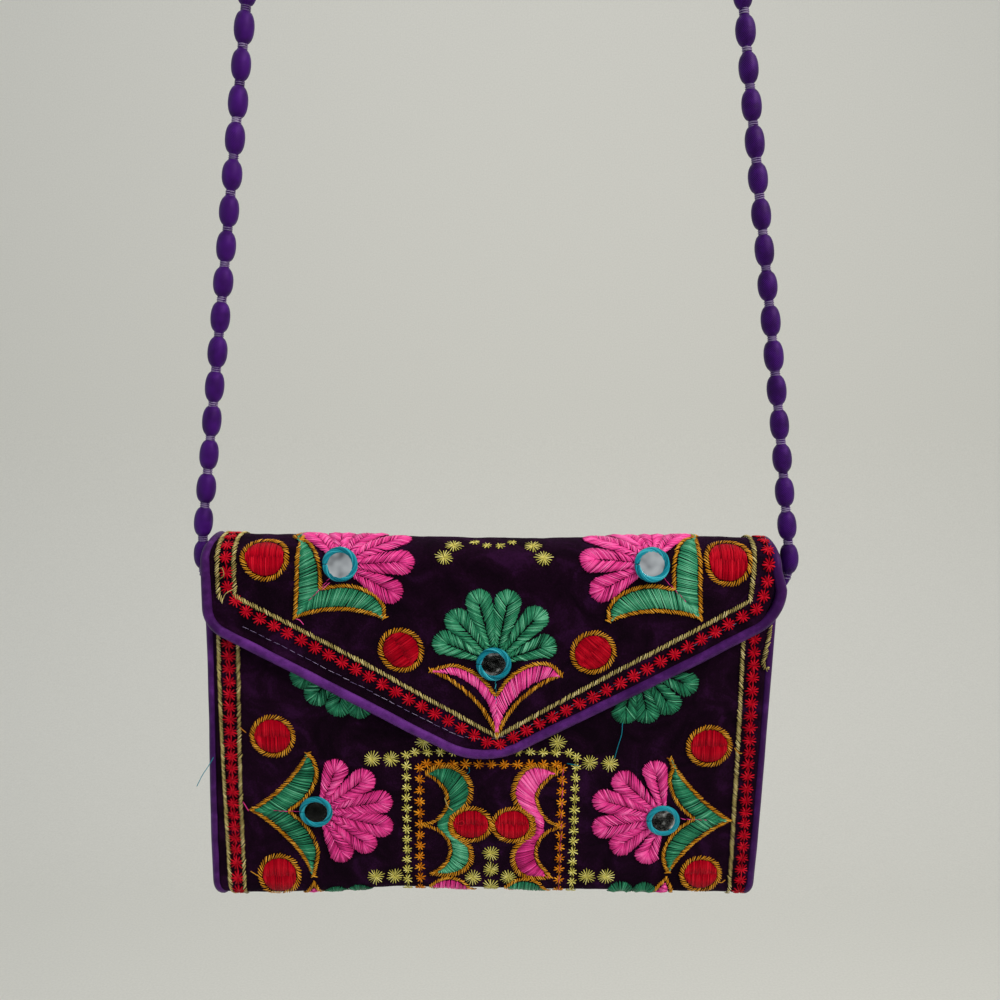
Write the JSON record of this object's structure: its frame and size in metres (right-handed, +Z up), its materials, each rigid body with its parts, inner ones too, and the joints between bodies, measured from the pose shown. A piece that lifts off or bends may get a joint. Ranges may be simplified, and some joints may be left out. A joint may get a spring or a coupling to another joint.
{
  "type": "purse",
  "caption": "Flat envelope purse in dark velvet with a pointed flap, satin piping, traditional floral mirror-work embroidery and a long shoulder strap of cloth-covered beads.",
  "frame": {"origin": "inside of the strap loop's top, where the strap rests on what holds it up", "axes": "+Z up along the hanging strap, -Y the way the flap faces, +X to the right as the flap is seen"},
  "size_m": [0.2388, 0.0323, 0.6697],
  "materials": {
    "velvet": "dark aubergine cotton velvet, matt with a soft nap",
    "piping_satin": "purple satin over a cord, soft gloss",
    "gusset_satin": "purple satin, soft gloss",
    "strap_satin": "purple cloth over beads, low gloss",
    "mirror": "thin silvered glass",
    "nickel": "nickel plate",
    "thread_pink": "glossy stranded embroidery thread",
    "thread_green": "glossy stranded embroidery thread",
    "thread_red": "glossy stranded embroidery thread",
    "thread_gold": "glossy stranded embroidery thread",
    "thread_pale": "glossy stranded embroidery thread",
    "thread_turquoise": "glossy stranded embroidery thread",
    "thread_orange": "glossy stranded embroidery thread"
  },
  "bodies": {
    "root": {"velvet_panel": "velvet", "piping": "piping_satin", "gusset_left": "gusset_satin", "gusset_right": "gusset_satin", "snap": "nickel", "mirror_flap_left": "mirror", "mirror_flap_right": "mirror", "mirror_flap_centre": "mirror", "mirror_front_left": "mirror", "mirror_front_right": "mirror", "strap_left": "strap_satin", "strap_right": "strap_satin"}
  },
  "joints": []
}
